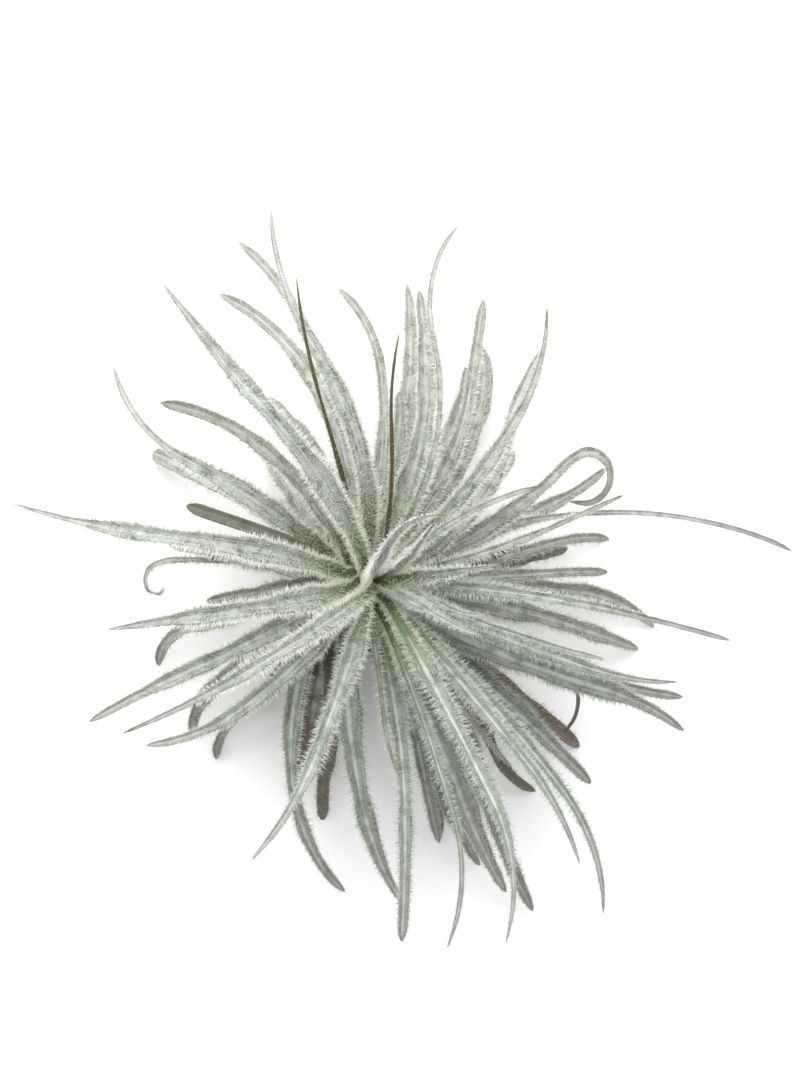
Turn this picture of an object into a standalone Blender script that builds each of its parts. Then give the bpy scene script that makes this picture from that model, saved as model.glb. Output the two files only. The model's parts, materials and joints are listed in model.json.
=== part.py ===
"""A silver air plant (Tillandsia tectorum type): one short stem carrying a rosette of slender leaves.

The plant stands on the flat cut base of its stem and on the tips of its outermost leaves.
Lengths in the constants are millimetres and angles are degrees; the scene is in metres, +Z up.
"""

from itertools import count
from math import asin, cos, degrees, pi, radians, sin, sqrt

import bmesh
import bpy
from mathutils import Vector

MM = 0.001

# Stem: a turned shape, given as (radius, height) from the cut base to the growing point.
STEM_PROFILE = [(4.3, 0.0), (4.9, 0.9), (5.1, 8.0), (5.3, 24.0), (5.2, 35.0),
                (4.9, 37.2), (3.9, 39.1), (2.4, 40.4), (1.0, 41.0)]
STEM_TOP = 41.2
STEM_SIDES = 20

# Where the leaves grow: the youngest on the dome, the rest one after another down the side.
DOME_LEAVES = 16
DOME_SPACING = 1.5
DOME_HEIGHT = 42.0
DOME_DROP = 0.25
SIDE_RADIUS = 6.1
SIDE_HEIGHT = 38.0
SIDE_PITCH = 0.72

# Rise of a leaf above the horizontal, at its base and at its tip, against its place on the stem.
HEART_RISE = [(0, 84, 68), (11, 74, 52)]
LEAF_RISE = [(2, 66, 4), (16, 58, -10), (30, 44, -22), (45, 28, -30), (58, 16, -36)]
FIRST_RESTING_PLACE = 49
RESTING_TIP_HEIGHT = 0.6

# Section of a leaf: a shallow channel above and a keel below.
CHANNEL = 0.38
BASE_THICKNESS = 0.75
TIP_THINNING = 0.4
EDGE_THICKNESS = 0.25
TIP_WIDTH = 0.07
FULL_WIDTH_AT = 0.25
TAPER_FROM = 0.15
HOOK_FROM = 0.65
STEPS = 42
STEPS_PER_RING = 3

# Every leaf, youngest first: kind, length, compass heading at the stem, even bend along the
# leaf, extra hook near the tip, and width. Turns are positive to the left.
LEAVES = [
    ("heart", 45, 271, 50, 17, 2.0),
    ("heart", 33, 85, 15, -19, 1.8),
    ("inner", 76, 202, 6, -7, 2.2),
    ("heart", 21, 326, -11, 9, 1.8),
    ("heart", 48, 163, -121, -50, 1.8),
    ("inner", 77, 278, 22, -47, 3.4),
    ("heart", 30, 10, 9, -14, 2.0),
    ("inner", 51, 99, 0, -22, 1.2),
    ("heart", 28, 330, -1, 50, 2.0),
    ("inner", 34, 54, -41, 0, 1.2),
    ("inner", 64, 232, 18, -22, 3.4),
    ("heart", 14, 359, 6, 4, 1.8),
    ("inner", 77, 132, 7, -12, 3.8),
    ("inner", 65, 298, 13, -21, 2.6),
    ("inner", 61, 52, 16, 20, 2.0),
    ("inner", 59, 191, -7, 5, 3.0),
    ("inner", 43, 333, 14, 2, 1.6),
    ("inner", 62, 123, -20, -10, 1.2),
    ("inner", 71, 277, 10, -36, 1.8),
    ("inner", 48, 15, 14, -7, 1.2),
    ("inner", 76, 166, 13, -17, 3.0),
    ("inner", 77, 308, -2, -31, 2.6),
    ("inner", 75, 101, 38, -51, 3.4),
    ("inner", 42, 299, 9, 10, 1.2),
    ("middle", 70, 357, -15, 4, 1.6),
    ("middle", 55, 128, 26, 17, 2.6),
    ("inner", 68, 275, -9, 6, 3.2),
    ("middle", 56, 29, 72, -48, 3.6),
    ("middle", 37, 155, 11, -6, 2.0),
    ("inner", 64, 334, 12, 14, 3.0),
    ("inner", 73, 58, 71, -86, 1.2),
    ("middle", 53, 227, -21, -18, 3.0),
    ("outer", 67, 21, 38, -267, 2.6),
    ("inner", 65, 146, 10, -58, 3.8),
    ("outer", 66, 291, 2, 14, 5.4),
    ("outer", 57, 63, 41, -13, 4.2),
    ("middle", 58, 206, -4, 11, 3.4),
    ("middle", 73, 328, 25, -25, 4.6),
    ("outer", 63, 95, 45, 11, 3.6),
    ("middle", 65, 255, 47, 7, 4.2),
    ("middle", 97, 28, -53, 7, 1.2),
    ("outer", 26, 185, 4, 5, 2.6),
    ("middle", 63, 322, -5, 5, 4.4),
    ("outer", 58, 77, 26, 28, 2.2),
    ("outer", 68, 228, 88, 5, 3.0),
    ("outer", 53, 2, 2, -5, 1.8),
    ("outer", 37, 102, 33, -11, 5.2),
    ("outer", 54, 296, -18, 16, 2.6),
    ("outer", 65, 42, 55, -27, 2.6),
    ("outer", 51, 166, 28, 228, 1.2),
    ("outer", 71, 353, -13, 6, 4.0),
    ("outer", 74, 90, 33, 7, 2.2),
    ("outer", 49, 262, 8, 22, 4.4),
    ("outer", 62, 7, 11, -24, 2.0),
    ("outer", 44, 136, 26, -15, 2.6),
    ("outer", 64, 328, -2, 1, 4.6),
    ("outer", 60, 38, 38, 14, 5.2),
    ("outer", 42, 245, -47, 82, 3.0),
    ("outer", 72, 0, -8, -27, 4.4),
]

# Colour (linear red, green, blue) and roughness of each kind of piece.
FINISHES = {
    "heart": ((0.50, 0.56, 0.45), 0.85),
    "inner": ((0.53, 0.58, 0.52), 0.85),
    "middle": ((0.50, 0.53, 0.49), 0.9),
    "outer": ((0.45, 0.46, 0.43), 0.9),
    "stem": ((0.20, 0.17, 0.12), 0.9),
}


def clear_scene():
    for thing in list(bpy.data.objects):
        bpy.data.objects.remove(thing, do_unlink=True)


def make_material(name, finish):
    colour, roughness = FINISHES[finish]
    material = bpy.data.materials.new(name)
    material.use_nodes = True
    shader = material.node_tree.nodes["Principled BSDF"]
    shader.inputs["Base Color"].default_value = (*colour, 1.0)
    shader.inputs["Roughness"].default_value = roughness
    shader.inputs["Metallic"].default_value = 0.0
    material.diffuse_color = (*colour, 1.0)
    return material


def skin_rings(name, rings, tip, finish, sharp_angle):
    """A closed solid: rings of points joined one to the next, flat at the first, pointed at the tip."""
    solid = bmesh.new()
    loops = [[solid.verts.new(point * MM) for point in ring] for ring in rings]
    point = solid.verts.new(tip * MM)
    sides = len(rings[0])
    for lower, upper in zip(loops, loops[1:]):
        for i in range(sides):
            j = (i + 1) % sides
            solid.faces.new((lower[i], upper[i], upper[j], lower[j]))
    for i in range(sides):
        solid.faces.new((loops[-1][i], point, loops[-1][(i + 1) % sides]))
    solid.faces.new(loops[0])
    bmesh.ops.triangulate(solid, faces=solid.faces[:])
    bmesh.ops.recalc_face_normals(solid, faces=solid.faces[:])
    mesh = bpy.data.meshes.new(name)
    solid.to_mesh(mesh)
    solid.free()
    mesh.shade_smooth()
    mesh.set_sharp_from_angle(angle=radians(sharp_angle))
    mesh.materials.append(make_material(name, finish))
    piece = bpy.data.objects.new(name, mesh)
    bpy.context.scene.collection.objects.link(piece)
    return piece


def make_stem():
    turns = [2 * pi * i / STEM_SIDES for i in range(STEM_SIDES)]
    rings = [[Vector((radius * cos(a), radius * sin(a), height)) for a in turns]
             for radius, height in STEM_PROFILE]
    return skin_rings("stem", rings, Vector((0, 0, STEM_TOP)), "stem", 40)


def attachment(place):
    """Distance from the stem's axis and height at which the leaf of this place grows."""
    if place < DOME_LEAVES:
        return DOME_SPACING * sqrt(place + 0.5), DOME_HEIGHT - DOME_DROP * place
    return SIDE_RADIUS, SIDE_HEIGHT - SIDE_PITCH * (place - DOME_LEAVES)


def between(table, place):
    """Rise at base and tip, read in proportion between the table's rows."""
    for (p0, base0, tip0), (p1, base1, tip1) in zip(table, table[1:]):
        if place <= p1:
            share = (place - p0) / (p1 - p0)
            return base0 + share * (base1 - base0), tip0 + share * (tip1 - tip0)
    return table[-1][1:]


def rise(kind, place, length):
    if kind == "heart":
        return between(HEART_RISE, place)
    base_rise, tip_rise = between(LEAF_RISE, place)
    if place >= FIRST_RESTING_PLACE:
        drop = RESTING_TIP_HEIGHT - attachment(place)[1]
        tip_rise = 2 * degrees(asin(drop / length)) - base_rise
    return base_rise, tip_rise


def centre_line(place, leaf):
    """Points along a leaf with their heading and rise, one more than there are steps."""
    kind, length, heading, bend, hook, _ = leaf
    base_rise, tip_rise = rise(kind, place, length)
    out, up = attachment(place)
    start = radians(heading)
    point = Vector((out * cos(start), out * sin(start), up))
    line = []
    for step in range(STEPS + 1):
        along = step / STEPS
        middle = (step + 0.5) / STEPS
        hooked = [max(0.0, (t - HOOK_FROM) / (1 - HOOK_FROM)) for t in (along, middle)]
        turn = radians(heading + bend * along + hook * hooked[0])
        climb = radians(base_rise + (tip_rise - base_rise) * along)
        line.append((point.copy(), turn, climb))
        next_turn = radians(heading + bend * middle + hook * hooked[1])
        next_climb = radians(base_rise + (tip_rise - base_rise) * middle)
        point += direction(next_turn, next_climb) * (length / STEPS)
    return line


def direction(turn, climb):
    return Vector((cos(climb) * cos(turn), cos(climb) * sin(turn), sin(climb)))


def half_width(kind, width, along):
    base = 0.62 if kind == "heart" else 0.8
    swell = base + (1 - base) * min(1.0, along / FULL_WIDTH_AT)
    fade = max(0.0, (along - TAPER_FROM) / (1 - TAPER_FROM)) ** 1.9
    return 0.5 * width * swell * (1 - (1 - TIP_WIDTH) * fade)


def leaf_section(leaf, along, point, turn, climb):
    """Six points around the leaf: channelled upper side, then the keeled underside."""
    kind, width = leaf[0], leaf[5]
    half = half_width(kind, width, along)
    thickness = (BASE_THICKNESS - TIP_THINNING * along) * min(1.0, width / 2.6 + 0.2)
    thickness = min(thickness, 1.3 * half + 0.1)
    edge = min(EDGE_THICKNESS, 0.5 * thickness)
    lift = CHANNEL * half
    side = Vector((-sin(turn), cos(turn), 0))
    upper = direction(turn, climb).cross(side)
    outline = [(-half, lift), (0, 0), (half, lift),
               (0.9 * half, lift - edge), (0, -thickness), (-0.9 * half, lift - edge)]
    return [point + side * u + upper * v for u, v in outline]


def make_leaf(name, place, leaf):
    line = centre_line(place, leaf)
    rings = []
    for step in range(0, STEPS, STEPS_PER_RING):
        point, turn, climb = line[step]
        rings.append(leaf_section(leaf, step / STEPS, point, turn, climb))
    return skin_rings(name, rings, line[-1][0], leaf[0], 60)


def make_leaves():
    numbers = {kind: count(1) for kind in ("heart", "inner", "middle", "outer")}
    for place, leaf in enumerate(LEAVES):
        kind = leaf[0]
        make_leaf(f"{kind}_leaf_{next(numbers[kind]):02d}", place, leaf)


clear_scene()
make_stem()
make_leaves()
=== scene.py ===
import json
import math
import random

import bmesh
import bpy
import numpy as np
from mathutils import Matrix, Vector

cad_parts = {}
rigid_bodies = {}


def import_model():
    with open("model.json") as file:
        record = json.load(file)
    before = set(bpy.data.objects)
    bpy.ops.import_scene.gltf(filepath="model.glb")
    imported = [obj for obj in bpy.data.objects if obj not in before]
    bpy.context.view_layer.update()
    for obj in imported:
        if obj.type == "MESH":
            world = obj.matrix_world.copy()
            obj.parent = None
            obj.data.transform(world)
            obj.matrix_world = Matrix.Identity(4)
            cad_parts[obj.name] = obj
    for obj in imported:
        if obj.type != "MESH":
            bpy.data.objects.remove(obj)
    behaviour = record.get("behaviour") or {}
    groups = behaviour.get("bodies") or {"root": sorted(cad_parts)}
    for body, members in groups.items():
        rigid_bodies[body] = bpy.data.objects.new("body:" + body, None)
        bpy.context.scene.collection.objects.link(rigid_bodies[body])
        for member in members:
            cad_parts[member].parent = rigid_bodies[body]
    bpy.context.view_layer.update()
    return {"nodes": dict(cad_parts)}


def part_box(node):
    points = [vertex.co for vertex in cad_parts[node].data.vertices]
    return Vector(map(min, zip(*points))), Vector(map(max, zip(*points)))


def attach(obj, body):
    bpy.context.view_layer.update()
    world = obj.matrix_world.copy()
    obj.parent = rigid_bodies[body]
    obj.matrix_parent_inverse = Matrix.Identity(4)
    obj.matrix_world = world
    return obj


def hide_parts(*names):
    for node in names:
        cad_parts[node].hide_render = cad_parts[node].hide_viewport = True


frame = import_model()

mm = 0.001
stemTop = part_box("stem")[1].z
growingPoint = Vector((0, 0, stemTop + 0.8 * mm))
leafNames = sorted(name for name in frame["nodes"] if "_leaf_" in name)
print("frame loaded:", len(leafNames), "leaves")


# camera, light and floor

viewLook = {
    "lean": 16,              # degrees the camera stands over towards -x
    "distance": 380 * mm,    # from the growing point
    "lens": 66.8,
    "shift": (0.015, 0.0455),
    "keyPower": 10.2,
    "keySize": 0.9,
    "keyPlace": (-0.30, 0.39, 0.56),
    "fillPower": 1.1,
    "fillSize": 0.5,
    "fillPlace": (0.40, 0.22, 0.42),
    "worldColour": (0.96, 0.98, 1.0),
    "worldStrength": 0.55,
    "floorColour": (0.95, 0.95, 0.94),
    "floorReach": 12,        # metres each way
}


def makeCamera(look):
    lean = math.radians(look["lean"])
    camera = bpy.data.objects.new("camera", bpy.data.cameras.new("camera"))
    camera.data.lens = look["lens"]
    camera.data.shift_x, camera.data.shift_y = look["shift"]
    camera.data.clip_start = 0.01
    back = Vector((-math.sin(lean), 0, math.cos(lean)))
    camera.location = growingPoint + back * look["distance"]
    camera.rotation_euler = (0, -lean, 0)
    bpy.context.scene.collection.objects.link(camera)
    bpy.context.scene.camera = camera


def makeLamp(name, place, power, size):
    lamp = bpy.data.lights.new(name, "AREA")
    lamp.energy = power
    lamp.size = size
    holder = bpy.data.objects.new(name, lamp)
    holder.location = place
    holder.rotation_euler = (growingPoint - Vector(place)).to_track_quat("-Z", "Y").to_euler()
    bpy.context.scene.collection.objects.link(holder)


def makeWorld(look):
    world = bpy.data.worlds.new("studio")
    world.use_nodes = True
    background = world.node_tree.nodes["Background"]
    background.inputs["Color"].default_value = (*look["worldColour"], 1)
    background.inputs["Strength"].default_value = look["worldStrength"]
    bpy.context.scene.world = world


def makeFloor(look):
    mesh = bpy.data.meshes.new("floor")
    reach = look["floorReach"]
    corners = [(-reach, -reach, 0), (reach, -reach, 0), (reach, reach, 0), (-reach, reach, 0)]
    mesh.from_pydata(corners, [], [(0, 1, 2, 3)])
    material = bpy.data.materials.new("floor")
    material.use_nodes = True
    shader = material.node_tree.nodes["Principled BSDF"]
    shader.inputs["Base Color"].default_value = (*look["floorColour"], 1)
    shader.inputs["Roughness"].default_value = 0.9
    mesh.materials.append(material)
    floor = bpy.data.objects.new("floor", mesh)
    bpy.context.scene.collection.objects.link(floor)


makeCamera(viewLook)
makeLamp("keyLight", viewLook["keyPlace"], viewLook["keyPower"], viewLook["keySize"])
makeLamp("fillLight", viewLook["fillPlace"], viewLook["fillPower"], viewLook["fillSize"])
makeWorld(viewLook)
makeFloor(viewLook)
bpy.context.scene.view_settings.view_transform = "Standard"
print("camera, light and floor ready")


# how each leaf looks

# what every leaf starts from; its kind and then the leaf itself change some of it
everyLook = {
    "greenAndShade": 0.5,        # fresh colour and painted shade near the heart
    "olive": 0.0,        # bare and dark all over
    "dry": 0.0,          # browned in patches
    "brownFrom": 1.2,    # where along the leaf the brown tip starts, past 1 for none
    "fur": 1.0,          # how thick the hairs stand
    "fuzz": 0.16,        # and how many of them stand away from the edges
    "furLength": 0.85,
    "widen": 1.1,        # width over the solid's
    "baseShare": 0.8,    # of that width, what is left by the stem
    "baseExtra": 0.8,    # mm more on each side by the stem
    "sheathHalf": 4.2,   # mm, half the width of the sheath
    "threadFrom": 0.62,  # where along the leaf the body ends
    "fall": 0.4,         # and over how much of the leaf it narrows
    "tipHalf": 0.7,      # mm, half the width beyond that
    "point": 0.06,       # share of the leaf that its pointed end takes
}
kindLook = {
    "heart": {"greenAndShade": 1.0, "brownFrom": 0.945, "fuzz": 0.6, "widen": 1.0, "baseExtra": 0.3,
              "sheathHalf": 1.9, "threadFrom": 0.45, "fall": 0.5, "tipHalf": 0.28, "point": 0.11},
    "inner": {"greenAndShade": 0.95, "fuzz": 0.26, "furLength": 0.9, "widen": 1.0, "baseShare": 0.6,
              "baseExtra": 0.2, "sheathHalf": 2.9, "threadFrom": 0.64, "fall": 0.26,
              "tipHalf": 0.48, "point": 0.1},
    "middle": {"dry": 0.1},
    "outer": {"greenAndShade": 0.3, "dry": 0.2, "fur": 0.9, "fuzz": 0.14, "furLength": 0.8,
              "baseShare": 1.0, "baseExtra": 1.4, "sheathHalf": 4.6, "threadFrom": 0.66,
              "tipHalf": 0.9, "point": 0.07},
}
leafLook = {
    "heart_leaf_04": {"widen": 1.15, "baseExtra": 0.6},
    "inner_leaf_01": {"brownFrom": 0.955, "widen": 1.3},
    "inner_leaf_03": {"widen": 0.8, "baseExtra": 0.0, "fur": 0.6, "furLength": 0.3, "olive": 1.0,
                      "brownFrom": 0.9, "tipHalf": 0.28},
    "inner_leaf_04": {"furLength": 0.8, "brownFrom": 0.95},
    "inner_leaf_05": {"tipHalf": 0.6},
    "inner_leaf_06": {"threadFrom": 0.72, "fall": 0.28, "tipHalf": 0.6},
    "inner_leaf_08": {"brownFrom": 0.95, "widen": 1.35},
    "inner_leaf_09": {"threadFrom": 0.7, "widen": 1.25, "tipHalf": 0.6},
    "inner_leaf_11": {"widen": 0.8, "baseExtra": 0.0, "fur": 0.6, "furLength": 0.3, "olive": 1.0,
                      "brownFrom": 0.95, "tipHalf": 0.28},
    "inner_leaf_12": {"threadFrom": 0.5, "fall": 0.3},
    "inner_leaf_13": {"furLength": 0.8, "brownFrom": 0.95, "widen": 1.3},
    "inner_leaf_14": {"threadFrom": 0.74, "fall": 0.14, "widen": 1.25},
    "inner_leaf_15": {"tipHalf": 0.6},
    "inner_leaf_16": {"threadFrom": 0.64, "fall": 0.2, "tipHalf": 0.55},
    "inner_leaf_17": {"dry": 0.4, "furLength": 0.8},
    "inner_leaf_18": {"threadFrom": 0.7, "fall": 0.35, "tipHalf": 1.0, "point": 0.05},
    "inner_leaf_21": {"threadFrom": 0.58, "fall": 0.15, "tipHalf": 0.62},
    "middle_leaf_01": {"threadFrom": 0.5, "fall": 0.3, "tipHalf": 0.5, "widen": 1.3},
    "middle_leaf_02": {"fur": 0.7, "tipHalf": 1.1, "olive": 0.3, "widen": 1.3},
    "middle_leaf_04": {"fur": 0.2, "furLength": 0.5, "olive": 0.75, "tipHalf": 1.2},
    "middle_leaf_09": {"threadFrom": 0.3, "fall": 0.3, "tipHalf": 0.5},
    "middle_leaf_10": {"tipHalf": 1.0},
    "outer_leaf_01": {"tipHalf": 0.85, "threadFrom": 0.55, "fall": 0.4},
    "outer_leaf_03": {"tipHalf": 1.0},
    "outer_leaf_04": {"tipHalf": 1.0},
    "outer_leaf_05": {"olive": 0.3},
    "outer_leaf_08": {"widen": 1.4},
    "outer_leaf_09": {"tipHalf": 1.4},
    "outer_leaf_10": {"tipHalf": 1.0},
    "outer_leaf_11": {"tipHalf": 1.1},
    "outer_leaf_12": {"tipHalf": 0.45},
    "outer_leaf_14": {"widen": 1.4, "tipHalf": 1.0},
    "outer_leaf_15": {"fur": 0.5, "dry": 0.8, "olive": 0.5, "tipHalf": 1.2},
    "outer_leaf_16": {"widen": 1.5},
    "outer_leaf_17": {"widen": 1.0, "tipHalf": 1.7, "point": 0.04},
    "outer_leaf_18": {"fur": 0.5, "dry": 1.2, "olive": 0.4, "tipHalf": 1.3, "point": 0.06},
    "outer_leaf_19": {"tipHalf": 1.4},
    "outer_leaf_20": {"dry": 0.4},
}

# painted light and shade: leaves whose middles point to the side where the key light stands get more
# silver bloom and hairs and look lighter, those on the far side get less and look darker
paintedLightSide = {"heading": 112, "most": 1.35, "least": 0.17}


def lookOf(kind, changes):
    return {**everyLook, **kindLook[kind], **changes}


# how much painted light and shade a leaf gets, from the way its middle points
def paintedLightOf(spine, side):
    reach = spine["middles"][len(spine["middles"]) // 2]
    facing = math.cos(math.atan2(reach[1], reach[0]) - math.radians(side["heading"]))
    return side["least"] + (side["most"] - side["least"]) * (facing + 1) / 2


# materials

colours = {
    "blade": (0.125, 0.15, 0.11),
    "worn": (0.20, 0.195, 0.18),
    "scurf": (0.51, 0.53, 0.485),
    "rib": (0.69, 0.71, 0.68),
    # dark green near the heart: partly the fresh green of young leaves, partly painted shade deep in
    # the rosette
    "greenAndShade": (0.12, 0.18, 0.045),
    "olive": (0.07, 0.065, 0.032),
    "dry": (0.145, 0.123, 0.092),
    "tip": (0.19, 0.105, 0.05),
    "hair": (0.79, 0.785, 0.74),
    "hairRoot": (0.46, 0.475, 0.41),
    # painted shade for hairs on leaves turned away from the light
    "hairPaintedShade": (0.40, 0.43, 0.38),
    # the same for the hairs: fresh green and painted shade near the heart
    "hairGreenAndShade": (0.66, 0.69, 0.57),
    "hairOlive": (0.40, 0.39, 0.27),
    "hairDry": (0.55, 0.50, 0.42),
    "hairTip": (0.42, 0.31, 0.20),
    "bark": (0.17, 0.16, 0.12),
    "barkPale": (0.42, 0.42, 0.36),
}
grain = {                    # how fine each pattern is, per metre
    "dryPatches": 260,
    "bloomPatches": 420,
    "bloomSpecks": 3200,
    "barkFibres": 1800,
    "barkBlotches": 300,
}
relief = {                   # strength and depth of the bumps
    "bloomAndPaintedLight": (0.6, 0.12 * mm),
    "bark": (0.8, 0.2 * mm),
}


class Wiring:
    # places nodes in a tree and joins them, so that each effect reads top to bottom
    def __init__(self, tree):
        self.tree = tree

    def add(self, kind, values=None, **settings):
        node = self.tree.nodes.new(kind)
        for name, value in settings.items():
            setattr(node, name, value)
        for socket, value in (values or {}).items():
            self.feed(node.inputs[socket], value)
        return node

    def feed(self, socket, value):
        if isinstance(value, bpy.types.NodeSocket):
            self.tree.links.new(value, socket)
        else:
            socket.default_value = value

    def math(self, operation, a, b=0.0, clamp=False):
        node = self.add("ShaderNodeMath", {0: a, 1: b}, operation=operation, use_clamp=clamp)
        return node.outputs[0]

    def blend(self, share, a, b):
        node = self.add("ShaderNodeMix", {0: share, 6: a, 7: b}, data_type="RGBA")
        return node.outputs[2]

    def ramp(self, value, low, high, to=(0.0, 1.0)):
        values = {"Value": value, "From Min": low, "From Max": high, "To Min": to[0], "To Max": to[1]}
        return self.add("ShaderNodeMapRange", values, interpolation_type="SMOOTHSTEP").outputs[0]

    def read(self, attribute):
        return self.add("ShaderNodeAttribute", attribute_name=attribute).outputs["Fac"]

    def noise(self, vector, scale, detail=3.0):
        values = {"Vector": vector, "Scale": scale, "Detail": detail}
        return self.add("ShaderNodeTexNoise", values).outputs[0]

    def bump(self, height, finish):
        strength, depth = relief[finish]
        values = {"Height": height, "Strength": strength, "Distance": depth}
        return self.add("ShaderNodeBump", values).outputs[0]


def newGroup(name, inputs, outputs):
    group = bpy.data.node_groups.new(name, "ShaderNodeTree")
    for label, kind in inputs:
        group.interface.new_socket(label, in_out="INPUT", socket_type=kind)
    for label, kind in outputs:
        group.interface.new_socket(label, in_out="OUTPUT", socket_type=kind)
    wires = Wiring(group)
    return group, wires, wires.add("NodeGroupInput"), wires.add("NodeGroupOutput")


def makeAgeing():
    # greens and darkens a colour near the heart, partly fresh young growth and partly painted shade
    # deep in the rosette, dries it in patches and browns the leaf's tip
    colour = "NodeSocketColor"
    inputs = [(label, colour) for label in ("Colour", "Green", "Olive", "Dry", "Tip")]
    outputs = [("Colour", colour), ("Dryness", "NodeSocketFloat")]
    group, wires, start, end = newGroup("ageing", inputs, outputs)
    along = wires.read("along")
    place = wires.add("ShaderNodeTexCoord").outputs["Object"]
    # near the heart the colour turns a darker green: partly fresh young growth, partly painted shade
    # deep in the rosette
    heartGreenAndShade = wires.ramp(along, 0.0, 0.35, (1.0, 0.0))
    greenAndShadeShare = wires.math("MULTIPLY", wires.read("greenAndShade"), heartGreenAndShade, clamp=True)
    greenedAndShaded = wires.blend(greenAndShadeShare, start.outputs["Colour"], start.outputs["Green"])
    greenedAndShaded = wires.blend(wires.read("olive"), greenedAndShaded, start.outputs["Olive"])
    patches = wires.noise(place, grain["dryPatches"], 4)
    outer = wires.math("MULTIPLY", along, 0.25)
    patchy = wires.ramp(wires.math("ADD", patches, outer), 0.4, 0.75)
    dryShare = wires.math("MULTIPLY", wires.read("dry"), patchy, clamp=True)
    dried = wires.blend(dryShare, greenedAndShaded, start.outputs["Dry"])
    tipShare = wires.ramp(wires.math("SUBTRACT", along, wires.read("brownFrom")), -0.03, 0.05)
    wires.feed(end.inputs["Colour"], wires.blend(tipShare, dried, start.outputs["Tip"]))
    wires.feed(end.inputs["Dryness"], wires.math("MAXIMUM", dryShare, tipShare))
    return group


def mottle(wires, along, across, patches):
    # streaks that run along the leaf, patches and fine specks, added up
    streakPlace = wires.add("ShaderNodeCombineXYZ", {
        0: wires.math("MULTIPLY", across, 7.0),
        1: wires.math("MULTIPLY", along, 9.0),
        2: wires.math("MULTIPLY", wires.read("tone"), 31.0),
    }).outputs[0]
    place = wires.add("ShaderNodeTexCoord").outputs["Object"]
    parts = [(wires.noise(streakPlace, 1.0, 2), 0.4), (patches, 0.35),
             (wires.noise(place, grain["bloomSpecks"], 2), 0.25)]
    shares = [wires.math("MULTIPLY", part, share) for part, share in parts]
    return wires.math("ADD", wires.math("ADD", shares[0], shares[1]), shares[2])


def makeScurf():
    # the silver bloom of a leaf, worn at the tip, with a pale rib and pale edges
    colour = "NodeSocketColor"
    inputs = [(label, colour) for label in ("Bare", "Scurf", "Rib", "Worn")]
    inputs.append(("Cover", "NodeSocketFloat"))
    outputs = [("Colour", colour), ("Height", "NodeSocketFloat")]
    group, wires, start, end = newGroup("scurf", inputs, outputs)
    across = wires.read("across")
    along = wires.read("along")
    place = wires.add("ShaderNodeTexCoord").outputs["Object"]
    patches = wires.noise(place, grain["bloomPatches"], 3)
    mottled = mottle(wires, along, across, patches)
    # painted light and shade: the silver cover is thicker on leaves facing the light and thinner on
    # those turned away
    share = wires.math("MULTIPLY", start.outputs["Cover"], wires.read("bloomAndPaintedLight"))
    share = wires.math("MULTIPLY", share, wires.ramp(along, 0.0, 0.3, (0.4, 1.0)))
    share = wires.math("MULTIPLY", share, wires.ramp(along, 0.65, 0.95, (1.0, 0.35)))
    cover = wires.math("MULTIPLY", wires.ramp(mottled, 0.36, 0.62), share, clamp=True)
    bare = wires.blend(wires.ramp(along, 0.6, 0.95), start.outputs["Bare"], start.outputs["Worn"])
    bare = wires.blend(wires.ramp(mottled, 0.38, 0.6, (0.0, 0.28)), bare, start.outputs["Scurf"])
    silvered = wires.blend(cover, bare, start.outputs["Scurf"])
    outward = wires.math("ABSOLUTE", across)
    rib = wires.ramp(outward, 0.0, 0.34, (0.5, 0.0))
    edge = wires.ramp(outward, 0.85, 1.0, (0.0, 0.4))
    uneven = wires.ramp(patches, 0.3, 0.6, (0.4, 1.0))
    pale = wires.math("MULTIPLY", wires.math("ADD", rib, edge), uneven)
    wires.feed(end.inputs["Colour"], wires.blend(pale, silvered, start.outputs["Rib"]))
    wires.feed(end.inputs["Height"], mottled)
    return group


def newMaterial(name):
    material = bpy.data.materials.new(name)
    material.use_nodes = True
    return material, Wiring(material.node_tree), material.node_tree.nodes["Principled BSDF"]


def paint(name):
    return (*colours[name], 1)


def placeGroup(wires, group, values):
    node = wires.add("ShaderNodeGroup", node_tree=group)
    for label, value in values.items():
        wires.feed(node.inputs[label], value)
    return node.outputs


def makeBladeMaterial(name, ageing, scurf, cover):
    material, wires, shader = newMaterial(name)
    silver = placeGroup(wires, scurf, {
        "Bare": paint("blade"), "Scurf": paint("scurf"), "Rib": paint("rib"),
        "Worn": paint("worn"), "Cover": cover})
    aged = placeGroup(wires, ageing, {
        "Colour": silver["Colour"], "Green": paint("greenAndShade"), "Olive": paint("olive"),
        "Dry": paint("dry"), "Tip": paint("tip")})
    wires.feed(shader.inputs["Base Color"], aged["Colour"])
    wires.feed(shader.inputs["Roughness"], wires.ramp(silver["Height"], 0.3, 0.7, (0.6, 0.9)))
    wires.feed(shader.inputs["Normal"], wires.bump(silver["Height"], "bloomAndPaintedLight"))
    shader.inputs["Specular IOR Level"].default_value = 0.25
    shader.inputs["Sheen Weight"].default_value = 0.25
    shader.inputs["Sheen Roughness"].default_value = 0.5
    return material


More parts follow.
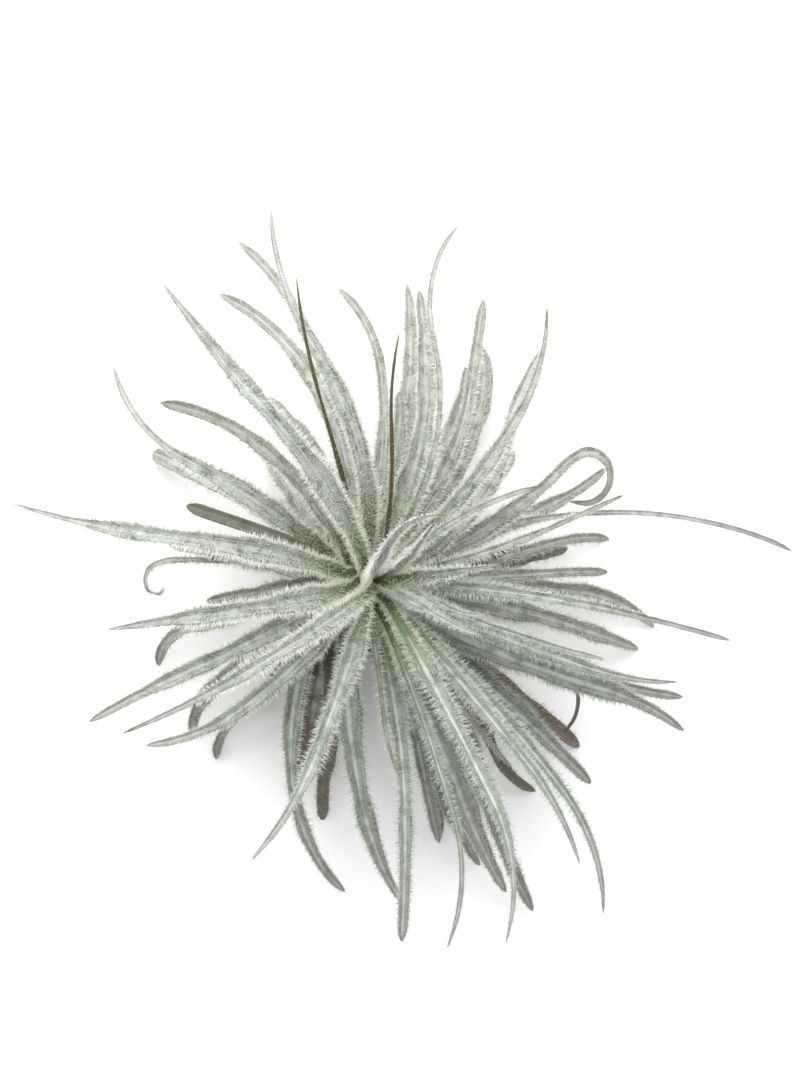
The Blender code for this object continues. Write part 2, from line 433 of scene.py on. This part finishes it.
def makeHairMaterial(name, ageing):
    # pale and clear on leaves facing the light and duller at the root; painted shade dulls the hairs
    # of leaves turned away from the light
    material, wires, shader = newMaterial(name)
    plain = wires.blend(wires.ramp(wires.read("upHair"), 0.0, 0.5), paint("hairRoot"), paint("hair"))
    # painted shade on the hairs of leaves turned away from the light
    plain = wires.blend(wires.ramp(wires.read("bloomAndPaintedLight"), 0.0, 0.8), paint("hairPaintedShade"), plain)
    aged = placeGroup(wires, ageing, {
        "Colour": plain, "Green": paint("hairGreenAndShade"), "Olive": paint("hairOlive"),
        "Dry": paint("hairDry"), "Tip": paint("hairTip")})
    wires.feed(shader.inputs["Base Color"], aged["Colour"])
    wires.feed(shader.inputs["Roughness"], wires.ramp(aged["Dryness"], 0.0, 1.0, (0.5, 0.8)))
    shader.inputs["Specular IOR Level"].default_value = 0.3
    return material


def makeStemMaterial(name):
    material, wires, shader = newMaterial(name)
    place = wires.add("ShaderNodeTexCoord").outputs["Object"]
    squeezed = wires.add("ShaderNodeMapping", {"Vector": place, "Scale": (1, 1, 0.25)}).outputs[0]
    fibres = wires.noise(squeezed, grain["barkFibres"], 4)
    blotches = wires.noise(place, grain["barkBlotches"], 3)
    blotched = wires.math("MULTIPLY", fibres, wires.math("ADD", blotches, 0.5))
    bark = wires.blend(wires.ramp(blotched, 0.35, 0.65), paint("bark"), paint("barkPale"))
    wires.feed(shader.inputs["Base Color"], bark)
    wires.feed(shader.inputs["Roughness"], wires.ramp(fibres, 0.3, 0.7, (0.75, 0.95)))
    wires.feed(shader.inputs["Normal"], wires.bump(fibres, "bark"))
    shader.inputs["Specular IOR Level"].default_value = 0.2
    return material


ageing = makeAgeing()
scurf = makeScurf()
bladeMaterials = {
    "heart": makeBladeMaterial("heartBlade", ageing, scurf, 0.75),
    "inner": makeBladeMaterial("silverBlade", ageing, scurf, 0.95),
    "middle": makeBladeMaterial("greyBlade", ageing, scurf, 0.9),
    "outer": makeBladeMaterial("oldBlade", ageing, scurf, 0.85),
}
hairMaterial = makeHairMaterial("silverHair", ageing)
stemMaterial = makeStemMaterial("dryStem")
print("materials ready")


# reading a leaf back from its solid

def unit(vector):
    return vector / max(np.linalg.norm(vector), 1e-12)


def weldedMesh(source):
    mesh = bmesh.new()
    mesh.from_mesh(source)
    bmesh.ops.remove_doubles(mesh, verts=mesh.verts, dist=0.002 * mm)
    mesh.verts.ensure_lookup_table()
    return mesh


def ringsFromTip(tip):
    # rings of six points, walked edge by edge from the leaf's tip; None if this isn't the tip
    seen = {tip}
    ring = [tip]
    rings = []
    while True:
        ring = list({far for near in ring for edge in near.link_edges
                     for far in [edge.other_vert(near)] if far not in seen})
        if not ring:
            return rings
        if len(ring) != 6:
            return None
        seen.update(ring)
        rings.append(ring)


def edgePair(ring, side):
    # the two edges of a section, left and right as in the section before it
    pairs = [(a, b) for i, a in enumerate(ring) for b in ring[i + 1:]]
    if side is None:
        return max(pairs, key=lambda pair: np.linalg.norm(pair[1] - pair[0]))
    left, right = max(pairs, key=lambda pair: abs(np.dot(pair[1] - pair[0], side)))
    return (right, left) if np.dot(right - left, side) < 0 else (left, right)


def readSections(name):
    # sections of a leaf's solid from stem to tip, and the tip itself
    mesh = weldedMesh(frame["nodes"][name].data)
    found = next(rings for rings in map(ringsFromTip, mesh.verts) if rings)
    tip = next(v for v in mesh.verts if all(v not in ring for ring in found))
    sections = [np.array([v.co[:] for v in ring]) for ring in reversed(found)]
    tipPoint = np.array(tip.co[:])
    mesh.free()
    return sections, tipPoint


def readLeaf(name):
    # spine of a leaf from stem to tip: edge midpoints, side and upper directions, half widths
    sections, tipPoint = readSections(name)
    middles, sides, halves = [], [], []
    for section in sections:
        left, right = edgePair(section, sides[-1] if sides else None)
        middles.append((left + right) / 2)
        sides.append(unit(right - left))
        halves.append(np.linalg.norm(right - left) / 2)
    middles = np.array(middles + [tipPoint])
    sides = np.array(sides + [sides[-1]])
    halves = np.array(halves + [0.02 * mm])
    ways = np.gradient(middles, axis=0)
    uppers = np.array([unit(np.cross(unit(way), side)) for way, side in zip(ways, sides)])
    if np.dot(middles[3] - sections[3].mean(axis=0), uppers[3]) < 0:
        uppers, sides = -uppers, -sides
    length = np.linalg.norm(np.diff(middles, axis=0), axis=1).sum()
    return {"middles": middles, "sides": sides, "uppers": uppers, "halves": halves, "length": length}


def smoothRead(values, places):
    # Catmull-Rom reading of evenly spaced values at fractional places
    values = np.asarray(values, dtype=float)
    last = len(values) - 1
    low = np.clip(np.floor(places).astype(int), 0, last - 1)
    share = places - low
    if values.ndim == 2:
        share = share[:, None]
    p0 = values[np.clip(low - 1, 0, last)]
    p1 = values[low]
    p2 = values[low + 1]
    p3 = values[np.clip(low + 2, 0, last)]
    return 0.5 * (2 * p1 + (p2 - p0) * share + (2 * p0 - 5 * p1 + 4 * p2 - p3) * share ** 2
                  + (3 * p1 - p0 - 3 * p2 + p3) * share ** 3)


# the blade

bladeShape = {
    "rings": 44,
    "channel": 0.42,          # depth of the channel over half the width
    "depth": 0.62 * mm,       # thickness at the keel by the stem
    "tipDepth": 0.25 * mm,
    "taper": 0.4,             # how much narrower the body is by its end
    "fullFrom": 0.2,          # where along the leaf the body has its full width
    "baseOver": 0.3,          # over how much of the leaf the base widens or narrows to it
    "baseReach": 9 * mm,      # how far the extra width by the stem reaches
    "waver": 0.13,            # how unevenly the edges run
    "waves": (17, 41),        # how fast, in radians along the leaf
    "fineWave": 0.6,          # share of the faster one
    "twist": 9,               # degrees
    "upperPoints": 7,
    "lowerPoints": 5,
    "sheathRings": 9,
    "sheathStep": 1.0 * mm,
    "sheathRadius": 4.3 * mm,
    "sheathDepth": 0.35 * mm,
    "sheathKeep": 0.7,        # how much of its way the sheath keeps from step to step
    "sheathDrop": 0.4,        # how much it turns down
    "sheathPull": 0.35,       # and in to the stem
    "sheathAlong": 0.1,       # the sheath's length in the leaf's own measure
    "lowest": 1.2 * mm,       # no sheath goes below this
}
furShape = {
    "edge": 1.7,              # how thick the hairs stand at the edges, beside the fuzz of the faces
    "stemExtra": 1.4,         # how much more fuzz there is by the stem
    "stemReach": 0.45,        # and how far along the leaf that reaches
    "threadLoss": 0.68,       # how much shorter the hairs are on the thread
    "middleLength": 0.75,
    "edgeLength": 0.4,        # added to that at the edges
    "sheathLength": 0.4,      # share of their length that hairs have low on the sheath
    "sheathFade": 0.15,       # and over how much of the leaf they reach their full length
}
hairLean = {
    "up": 0.85,               # off the surface in the middle of the leaf
    "upLoss": 0.55,           # and how much less at the edges
    "out": 1.15,              # to the side at the edges
    "forward": 0.5,           # towards the tip
}


def bladeOutline(look):
    # across the leaf, once round: (share of half width, share of channel, share of depth)
    upper = [(u, u * u, 0.0) for u in np.linspace(-1, 1, look["upperPoints"])]
    lower = [(u, u * u, 1 - u * u * 0.9) for u in np.linspace(1, -1, look["lowerPoints"] + 2)[1:-1]]
    return np.array(upper + lower)


def sheathPath(start, way, shape):
    # from the leaf's base down and in to the stem, which the sheath clasps
    point, heading, path = start, -way, []
    for _ in range(shape["sheathRings"]):
        radius = math.hypot(point[0], point[1])
        inward = np.array([-point[0], -point[1], 0]) / max(radius, 0.1 * mm)
        target = min(shape["sheathRadius"], radius * 0.8)
        pull = min(1, max(0, radius - target) / (1 * mm))
        down = np.array([0, 0, -shape["sheathDrop"]])
        heading = unit(heading * shape["sheathKeep"] + down + inward * shape["sheathPull"] * pull)
        point = point + heading * shape["sheathStep"]
        point[2] = max(point[2], shape["lowest"])
        path.append(point)
    return path[::-1]


def halfWidths(spine, places, along, look, shape, chance):
    # a body that keeps its width, then a quick fall to the thread or the blunt end
    halves = np.maximum(smoothRead(spine["halves"], places), 0)
    grown = np.clip(along / shape["fullFrom"], 0, 1)
    body = spine["halves"].max() * (1 - shape["taper"] * along) * grown
    halves = np.maximum(halves, body) * look["widen"]
    halves *= look["baseShare"] + (1 - look["baseShare"]) * np.clip(along / shape["baseOver"], 0, 1)
    halves += look["baseExtra"] * mm * np.exp(-along * spine["length"] / shape["baseReach"])
    slow, fast = [np.sin(along * wave + chance.uniform(0, 6)) for wave in shape["waves"]]
    waver = slow + shape["fineWave"] * fast
    halves *= 1 + shape["waver"] * waver * np.minimum(1, 6 * along)
    tip = look["tipHalf"] * mm
    fall = np.clip((along - look["threadFrom"]) / look["fall"], 0, 1)
    halves = tip + (np.maximum(halves, tip) - tip) * (1 - fall * fall * (3 - 2 * fall))
    pointed = np.clip((1.002 - along) / look["point"], 0, 1) ** 0.6
    return halves * pointed


def makeBlade(name, spine, look, shape, seed):
    chance = random.Random(seed)
    count = shape["rings"]
    places = np.linspace(0, len(spine["middles"]) - 1, count)
    along = np.linspace(0, 1, count)
    middles, sides, uppers = [smoothRead(spine[key], places) for key in ("middles", "sides", "uppers")]
    halves = halfWidths(spine, places, along, look, shape, chance)
    twists = np.radians(shape["twist"]) * np.sin(along * 4 + chance.uniform(0, 6)) * along
    depths = shape["depth"] + (shape["tipDepth"] - shape["depth"]) * along
    depths = np.minimum(depths, halves * 1.2)
    outline = bladeOutline(shape)
    base = {"way": unit(middles[1] - middles[0]), "side": sides[0], "upper": uppers[0],
            "half": halves[0], "depth": depths[0]}
    rings, leans = sheathRings(middles[0], base, look["sheathHalf"] * mm, shape, outline)
    along = np.concatenate([np.linspace(-shape["sheathAlong"], 0, len(rings), endpoint=False), along])
    for i in range(count):
        way = unit(middles[min(i + 1, count - 1)] - middles[max(i - 1, 0)])
        side, upper = twisted(way, sides[i], uppers[i], twists[i])
        rings.append(flatRing(middles[i], side, upper, halves[i], depths[i], outline, shape))
        leans.append(leanOf(way, side, upper, outline))
    return loft(name, rings, leans, along, outline[:, 0], look, chance.random())


def sheathRings(start, base, sheathHalf, shape, outline):
    # from a wrap round the stem to the leaf's own section
    rings, leans = [], []
    path = sheathPath(start, base["way"], shape)
    for i, point in enumerate(path):
        share = 1 - i / len(path)
        half = base["half"] + (sheathHalf - base["half"]) * share ** 0.8
        thick = shape["sheathDepth"] * share + base["depth"] * (1 - share)
        ring = flatRing(point, base["side"], base["upper"], half, thick, outline, shape)
        wrap = min(1.0, 1.6 * share)
        rings.append(ring * (1 - wrap) + wrappedRing(point, base["side"], half, thick, outline) * wrap)
        leans.append(leanOf(base["way"], base["side"], base["upper"], outline))
    return rings, leans


def twisted(way, side, upper, angle):
    # side and upper directions square to the leaf's way, turned about it
    side = unit(side - way * np.dot(side, way))
    square = np.cross(way, side)
    upper = square * np.sign(np.dot(square, upper))
    return (side * math.cos(angle) + upper * math.sin(angle),
            upper * math.cos(angle) - side * math.sin(angle))


def flatRing(middle, side, upper, half, depth, outline, shape):
    u, lift, down = outline.T
    high = (lift - 1) * shape["channel"] * half - down * depth
    return middle + np.outer(u * half, side) + np.outer(high, upper)


def wrappedRing(middle, side, half, depth, outline):
    # the same section rolled round the stem's axis
    u, _, down = outline.T
    radius = math.hypot(middle[0], middle[1])
    centre = math.atan2(middle[1], middle[0])
    turning = np.sign(np.dot(side, (-math.sin(centre), math.cos(centre), 0)) + 1e-9)
    angles = centre + turning * u * min(1.5, half / max(radius, 1.6 * mm))
    radii = radius + down * depth
    heights = np.full(len(u), middle[2])
    return np.column_stack([radii * np.cos(angles), radii * np.sin(angles), heights])


def leanOf(way, side, upper, outline):
    # which way the hairs lie: out to the sides, off the surface and a little towards the tip
    u, _, down = outline.T
    facing = np.where(down > 0, -1.0, 1.0)[:, None] * upper
    rise = hairLean["up"] - hairLean["upLoss"] * np.abs(u)
    return facing * rise[:, None] + np.outer(u * hairLean["out"], side) + way * hairLean["forward"]


def loft(name, rings, leans, along, across, look, tone):
    # closed skin through rings of points, with the values that colour it and grow its hairs
    count, sides = len(rings), len(across)
    mesh = skin(name, np.concatenate(rings), count, sides)
    alongs = np.repeat(along, sides)
    acrosses = np.tile(across, count)
    for key, numbers in bladeValues(alongs, acrosses, look, tone).items():
        mesh.attributes.new(key, "FLOAT", "POINT").data.foreach_set("value", numbers)
    lean = mesh.attributes.new("lean", "FLOAT_VECTOR", "POINT")
    lean.data.foreach_set("vector", np.concatenate(leans).ravel())
    addBladeMap(mesh, sides, alongs)
    blade = bpy.data.objects.new(name, mesh)
    bpy.context.scene.collection.objects.link(blade)
    return blade


def tube(count, sides):
    # faces through rings of points, closed at both ends
    faces = [list(range(sides)), list(range(count * sides - 1, (count - 1) * sides - 1, -1))]
    for i in range(count - 1):
        for j in range(sides):
            k = (j + 1) % sides
            faces.append([i * sides + j, (i + 1) * sides + j, (i + 1) * sides + k, i * sides + k])
    return faces


def skin(name, points, count, sides):
    mesh = bpy.data.meshes.new(name)
    mesh.from_pydata(points.tolist(), [], tube(count, sides))
    outward = bmesh.new()
    outward.from_mesh(mesh)
    bmesh.ops.recalc_face_normals(outward, faces=outward.faces)
    outward.to_mesh(mesh)
    outward.free()
    mesh.shade_smooth()
    return mesh


def bladeValues(alongs, acrosses, look, tone):
    values = {"along": alongs, "across": acrosses, "tone": np.full(len(alongs), tone)}
    for key in ("greenAndShade", "olive", "dry", "brownFrom", "bloomAndPaintedLight"):
        values[key] = np.full(len(alongs), look[key])
    thread = np.clip((alongs - look["threadFrom"]) / look["fall"], 0, 1)
    sheath = (alongs + bladeShape["sheathAlong"]) / furShape["sheathFade"]
    sheath = np.clip(sheath, furShape["sheathLength"], 1)
    ends = (1 - furShape["threadLoss"] * thread) * sheath
    nearStem = np.clip(1 - alongs / furShape["stemReach"], 0, 1)
    # painted light and shade: leaves turned away from the light get fewer hairs on their faces, those
    # facing it more
    fuzz = look["fuzz"] * look["bloomAndPaintedLight"] * (1 + furShape["stemExtra"] * nearStem)
    values["fur"] = look["fur"] * (fuzz + furShape["edge"] * acrosses ** 4)
    lengths = furShape["middleLength"] + furShape["edgeLength"] * np.abs(acrosses)
    values["furLength"] = look["furLength"] * ends * lengths
    return values


# the blade is unrolled over the left of the square, hairs keep a strip on the right
bladeMap = {
    "margin": 0.02,
    "width": 0.82,
    "height": 0.96,
    "hairsFrom": 0.9,
    "hairsWidth": 0.08,
    "hairsHeight": 0.006,
}


def addBladeMap(mesh, sides, alongs):
    layer = mesh.uv_layers.new(name="OFBake")
    corners = np.empty(len(mesh.loops), dtype=int)
    mesh.loops.foreach_get("vertex_index", corners)
    around = (corners % sides) / sides
    starts = np.empty(len(mesh.polygons), dtype=int)
    totals = np.empty(len(mesh.polygons), dtype=int)
    mesh.polygons.foreach_get("loop_start", starts)
    mesh.polygons.foreach_get("loop_total", totals)
    for first, total in zip(starts, totals):
        part = around[first:first + total]
        if total == 4 and part.max() - part.min() > 0.5:
            part[part < 0.5] += 1
    across = bladeMap["margin"] + bladeMap["width"] * around
    sheath = bladeShape["sheathAlong"]
    upward = bladeMap["margin"] + bladeMap["height"] * (alongs[corners] + sheath) / (1 + sheath)
    layer.uv.foreach_set("vector", np.column_stack([across, upward]).ravel())


# the hairs

hairLook = {
    "Hairs per square millimetre": 8.5,
    "Length": 1.6 * mm,
    "Thickness": 0.085 * mm,     # from its middle out, at the root
    "Spread": 0.7,               # how far it sways off the leaf's lean
    "Shortest": 0.55,            # times the length
    "Longest": 1.25,
}


def makeHairTree(look):
    tree = bpy.data.node_groups.new("leafHairs", "GeometryNodeTree")
    sockets = {"Geometry": "NodeSocketGeometry", "Seed": "NodeSocketInt",
               "Material": "NodeSocketMaterial"}
    sockets.update({label: "NodeSocketFloat" for label in look})
    for label, kind in sockets.items():
        tree.interface.new_socket(label, in_out="INPUT", socket_type=kind)
    tree.interface.new_socket("Geometry", in_out="OUTPUT", socket_type="NodeSocketGeometry")
    wires = Wiring(tree)
    given = wires.add("NodeGroupInput").outputs
    perSquareMetre = wires.math("MULTIPLY", given["Hairs per square millimetre"], 1e6)
    density = wires.math("MULTIPLY", perSquareMetre, named(wires, "fur"))
    roots = wires.add("GeometryNodeDistributePointsOnFaces",
                      {"Mesh": given["Geometry"], "Density": density, "Seed": given["Seed"]})
    planted = wires.add("GeometryNodeInstanceOnPoints", {
        "Points": roots.outputs["Points"], "Instance": makeNeedle(wires),
        "Rotation": hairTurn(wires, given), "Scale": hairScale(wires, given)})
    real = wires.add("GeometryNodeRealizeInstances", {"Geometry": planted.outputs[0]})
    mapped = storeHairMap(wires, real.outputs[0])
    painted = wires.add("GeometryNodeSetMaterial", {"Geometry": mapped, "Material": given["Material"]})
    joined = wires.add("GeometryNodeJoinGeometry")
    for part in (painted.outputs[0], given["Geometry"]):
        tree.links.new(part, joined.inputs[0])
    end = wires.add("NodeGroupOutput")
    tree.links.new(joined.outputs[0], end.inputs[0])
    return tree


def hairTurn(wires, given):
    # each hair follows the leaf's lean and sways off it its own way
    sway = wires.add("FunctionNodeRandomValue", {0: (-1, -1, -1), 1: (1, 1, 1)},
                     data_type="FLOAT_VECTOR")
    swayed = wires.add("ShaderNodeVectorMath", {0: sway.outputs[0], "Scale": given["Spread"]},
                       operation="SCALE")
    lean = named(wires, "lean", "FLOAT_VECTOR")
    aim = wires.add("ShaderNodeVectorMath", {0: lean, 1: swayed.outputs[0]})
    turn = wires.add("FunctionNodeAlignRotationToVector", {"Vector": aim.outputs[0]}, axis="Z")
    return turn.outputs[0]


def hairScale(wires, given):
    size = wires.add("FunctionNodeRandomValue", {2: given["Shortest"], 3: given["Longest"]},
                     data_type="FLOAT")
    longer = wires.math("MULTIPLY", size.outputs[1], named(wires, "furLength"))
    length = wires.math("MULTIPLY", longer, given["Length"])
    thickness = given["Thickness"]
    return wires.add("ShaderNodeCombineXYZ", {0: thickness, 1: thickness, 2: length}).outputs[0]


def named(wires, attribute, kind="FLOAT"):
    node = wires.add("GeometryNodeInputNamedAttribute", {"Name": attribute}, data_type=kind)
    return node.outputs["Attribute"]


def makeNeedle(wires):
    # one hair: a three-sided spike, one unit long and one unit in radius at its root
    cone = wires.add("GeometryNodeMeshCone", {
        "Vertices": 3, "Radius Top": 0.0, "Radius Bottom": 1.0, "Depth": 1.0}, fill_type="NGON")
    parts = wires.add("ShaderNodeSeparateXYZ", {0: wires.add("GeometryNodeInputPosition").outputs[0]})
    marked = wires.add("GeometryNodeStoreNamedAttribute", {
        "Geometry": cone.outputs["Mesh"], "Name": "upHair", "Value": parts.outputs["Z"]})
    marked = wires.add("GeometryNodeStoreNamedAttribute", {
        "Geometry": marked.outputs[0], "Name": "offHair", "Value": parts.outputs["X"]})
    return marked.outputs[0]


def storeHairMap(wires, hairs):
    # every hair of one height up the leaf shares one small patch of the right-hand strip
    perLength = bladeMap["height"] / (1 + bladeShape["sheathAlong"])
    base = bladeMap["margin"] + perLength * bladeShape["sheathAlong"]
    u = wires.math("MULTIPLY", named(wires, "upHair"), bladeMap["hairsWidth"])
    u = wires.math("ADD", u, bladeMap["hairsFrom"])
    v = wires.math("ADD", wires.math("MULTIPLY", named(wires, "along"), perLength), base)
    off = wires.math("MULTIPLY", named(wires, "offHair"), bladeMap["hairsHeight"])
    place = wires.add("ShaderNodeCombineXYZ", {0: u, 1: wires.math("ADD", v, off)})
    stored = wires.add("GeometryNodeStoreNamedAttribute", {
        "Geometry": hairs, "Name": "OFBake", "Value": place.outputs[0]},
        data_type="FLOAT2", domain="CORNER")
    return stored.outputs[0]


hairTree = makeHairTree(hairLook)
hairSockets = {item.name: item.identifier for item in hairTree.interface.items_tree
               if item.in_out == "INPUT"}


def growHairs(blade, name, seed, look):
    modifier = blade.modifiers.new("hairs", "NODES")
    modifier.node_group = hairTree
    for label, value in {**look, "Seed": seed, "Material": hairMaterial}.items():
        modifier[hairSockets[label]] = value
    blade.update_tag()
    bpy.context.view_layer.update()
    graph = bpy.context.evaluated_depsgraph_get()
    mesh = bpy.data.meshes.new_from_object(blade.evaluated_get(graph))
    mesh.name = name
    for attribute in ("lean", "offHair", "fur", "furLength"):
        if attribute in mesh.attributes:
            mesh.attributes.remove(mesh.attributes[attribute])
    bpy.data.objects.remove(blade)
    piece = bpy.data.objects.new(name, mesh)
    bpy.context.scene.collection.objects.link(piece)
    return piece


def growLeaf(name, kind, spine, look, seed):
    # painted light and shade, set by which way the leaf points
    look["bloomAndPaintedLight"] = paintedLightOf(spine, paintedLightSide)
    blade = makeBlade("bare_" + name, spine, look, bladeShape, seed)
    blade.data.materials.append(bladeMaterials[kind])
    return growHairs(blade, name, seed, hairLook)


def dressLeaf(name, seed):
    kind = name.split("_")[0]
    look = lookOf(kind, leafLook.get(name, {}))
    piece = growLeaf("hairy_" + name, kind, readLeaf(name), look, seed)
    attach(piece, "root")
    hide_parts(name)


for number, leafName in enumerate(leafNames, 1):
    dressLeaf(leafName, number)
print("leaves dressed")


# lower leaves that show only between the others

# height and rise are those by the stem, tipRise the one at the tip; heading is by the stem,
# bend turns the whole leaf and hook its end; mm and degrees
lowerLeaves = [
    {"height": 20.7, "length": 72, "heading": 331, "bend": 22, "hook": 0,
     "rise": 33, "tipRise": -27, "width": 3.0},
    {"height": 17.1, "length": 36, "heading": 70, "bend": 9, "hook": 10,
     "rise": 28, "tipRise": -30, "width": 3.2},
    {"height": 15.7, "length": 33, "heading": 165, "bend": 9, "hook": 0,
     "rise": 26, "tipRise": -31, "width": 3.6},
    {"height": 13.5, "length": 84, "heading": 308, "bend": -20, "hook": 23,
     "rise": 23, "tipRise": -41, "width": 4.2},
    {"height": 12.1, "length": 42, "heading": 196, "bend": -1, "hook": 95,
     "rise": 22, "tipRise": -53, "width": 3.4},
    {"height": 15.0, "length": 42, "heading": 34, "bend": -1, "hook": 24,
     "rise": 25, "tipRise": -31, "width": 4.0},
    {"height": 11.4, "length": 44, "heading": 215, "bend": 13, "hook": 66,
     "rise": 21, "tipRise": -49, "width": 3.8},
    {"height": 7.8, "length": 40, "heading": 257, "bend": 6, "hook": 6,
     "rise": 16, "tipRise": -36, "width": 5.4,
     "look": {"dry": 1.0, "fur": 0.5}},
    {"height": 10.6, "length": 67, "heading": 299, "bend": -8, "hook": 21,
     "rise": 20, "tipRise": -37, "width": 4.8},
    {"height": 23.6, "length": 56, "heading": 308, "bend": -22, "hook": 13,
     "rise": 38, "tipRise": -25, "width": 3.6},
    {"height": 13.5, "length": 53, "heading": 8, "bend": 0, "hook": 0,
     "rise": 23, "tipRise": -52, "width": 4.8,
     "look": {"dry": 1.4, "fur": 0.25}},
    {"height": 17.8, "length": 57, "heading": 20, "bend": 4, "hook": 11,
     "rise": 29, "tipRise": -29, "width": 3.4},
    {"height": 12.1, "length": 64, "heading": 66, "bend": 24, "hook": -8,
     "rise": 22, "tipRise": -42, "width": 4.0},
    {"height": 10.6, "length": 29, "heading": 118, "bend": 1, "hook": 1,
     "rise": 20, "tipRise": -60, "width": 5.2},
    {"height": 9.2, "length": 58, "heading": 304, "bend": -25, "hook": -1,
     "rise": 18, "tipRise": -35, "width": 4.0},
    {"height": 9.9, "length": 28, "heading": 243, "bend": -26, "hook": 3,
     "rise": 19, "tipRise": -57, "width": 4.6,
     "look": {"dry": 0.9, "fur": 0.5}},
    {"height": 8.5, "length": 52, "heading": 48, "bend": 16, "hook": 17,
     "rise": 17, "tipRise": -34, "width": 5.0},
    {"height": 7.8, "length": 19, "heading": 121, "bend": 27, "hook": 25,
     "rise": 16, "tipRise": -60, "width": 5.0},
    {"height": 9.9, "length": 63, "heading": 328, "bend": -50, "hook": 66,
     "rise": 19, "tipRise": -36, "width": 3.4,
     "look": {"dry": 1.4, "fur": 0.25}},
    {"height": 35.1, "length": 39, "heading": 261, "bend": 20, "hook": 27,
     "rise": 54, "tipRise": -13, "width": 1.0,
     "look": {"dry": 0.6, "sheathHalf": 1.5, "baseExtra": 0.2, "tipHalf": 0.3,
              "furLength": 0.8}},
    {"height": 12.0, "length": 66, "heading": 333, "bend": 20, "hook": -127,
     "rise": 21, "tipRise": -37, "width": 1.3,
     "look": {"dry": 2.5, "olive": 0.6, "fur": 0.03, "sheathHalf": 1.5, "baseExtra": 0.2,
              "tipHalf": 0.45}},
]


lowerShape = {
    "growsAt": 6.1 * mm,     # from the stem's axis
    "rings": 13,
    "stepsPerRing": 4,
    "hookFrom": 0.65,        # where along the leaf its hook starts
    "taperFrom": 0.25,
    "lowest": 1.5 * mm,      # a leaf that would sink lies along the floor
}


def wayOf(row, along, shape):
    # heading and rise of a leaf at a place along it, in radians
    hooked = max(0, (along - shape["hookFrom"]) / (1 - shape["hookFrom"]))
    turn = row["heading"] + row["bend"] * along + row["hook"] * hooked
    climb = row["rise"] + (row["tipRise"] - row["rise"]) * along
    return math.radians(turn), math.radians(climb)


def layLeaf(row, shape):
    # spine of a leaf that has no solid of its own, in the same form as a leaf read back
    steps = shape["rings"] * shape["stepsPerRing"]
    start = math.radians(row["heading"])
    point = np.array([math.cos(start), math.sin(start), 0]) * shape["growsAt"]
    point[2] = row["height"] * mm
    middles, sides, uppers = [], [], []
    for step in range(steps + 1):
        turn, climb = wayOf(row, step / steps, shape)
        flat = math.cos(climb)
        way = np.array([flat * math.cos(turn), flat * math.sin(turn), math.sin(climb)])
        side = np.array([-math.sin(turn), math.cos(turn), 0])
        if step % shape["stepsPerRing"] == 0:
            middles.append(point)
            sides.append(side)
            uppers.append(np.cross(way, side))
        point = point + way * row["length"] * mm / steps
        point[2] = max(point[2], shape["lowest"])
    shares = np.linspace(0, 1, shape["rings"] + 1)
    fade = np.clip((shares - shape["taperFrom"]) / (1 - shape["taperFrom"]), 0, None) ** 2.2
    halves = row["width"] * mm / 2 * (1 - 0.8 * fade)
    return {"middles": np.array(middles), "sides": np.array(sides), "uppers": np.array(uppers),
            "halves": halves, "length": row["length"] * mm}


def dressLowerLeaf(row, number):
    look = lookOf("outer", {"widen": 1.0, **row.get("look", {})})
    name = "lower_leaf_%02d" % number
    piece = growLeaf(name, "outer", layLeaf(row, lowerShape), look, 100 + number)
    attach(piece, "root")


for number, leafRow in enumerate(lowerLeaves, 1):
    dressLowerLeaf(leafRow, number)
print("lower leaves dressed")


# the stem

stemLook = {
    "profile": [(4.3, 0.0), (4.8, 0.7), (4.9, 3.0), (4.6, 7.0), (4.2, 12.0), (4.0, 28.0),
                (3.6, 32.0), (2.6, 35.0), (1.3, 36.6), (0.4, 37.2)],
    "sides": 40,
    "rings": 60,
    "ridge": 0.16 * mm,
    "ridgeFrom": 1.5 * mm,   # the cut end below this is even
}


def makeStem(look):
    # a turned rod with ragged ridges where old leaves came away
    profile = np.array(look["profile"]) * mm
    count, sides = look["rings"], look["sides"]
    steps = np.linspace(0, len(profile) - 1, count)
    radii = np.interp(steps, range(len(profile)), profile[:, 0])
    heights = np.interp(steps, range(len(profile)), profile[:, 1])
    turns = np.linspace(0, 2 * math.pi, sides, endpoint=False)
    rings = []
    for radius, height in zip(radii, heights):
        ragged = np.sin(turns * 7 + height / mm * 1.3) + np.sin(turns * 3 - height / mm * 2.1)
        wide = radius + look["ridge"] * ragged * min(1.0, height / look["ridgeFrom"])
        rings.append(np.column_stack([wide * np.cos(turns), wide * np.sin(turns),
                                      np.full(sides, height)]))
    mesh = skin("barkStem", np.concatenate(rings), count, sides)
    mesh.materials.append(stemMaterial)
    stem = bpy.data.objects.new("barkStem", mesh)
    bpy.context.scene.collection.objects.link(stem)
    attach(stem, "root")
    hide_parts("stem")


makeStem(stemLook)
print("stem finished")

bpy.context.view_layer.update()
triangles = sum(len(thing.data.loop_triangles) for thing in bpy.data.objects if thing.type == "MESH")
print("triangles:", triangles)
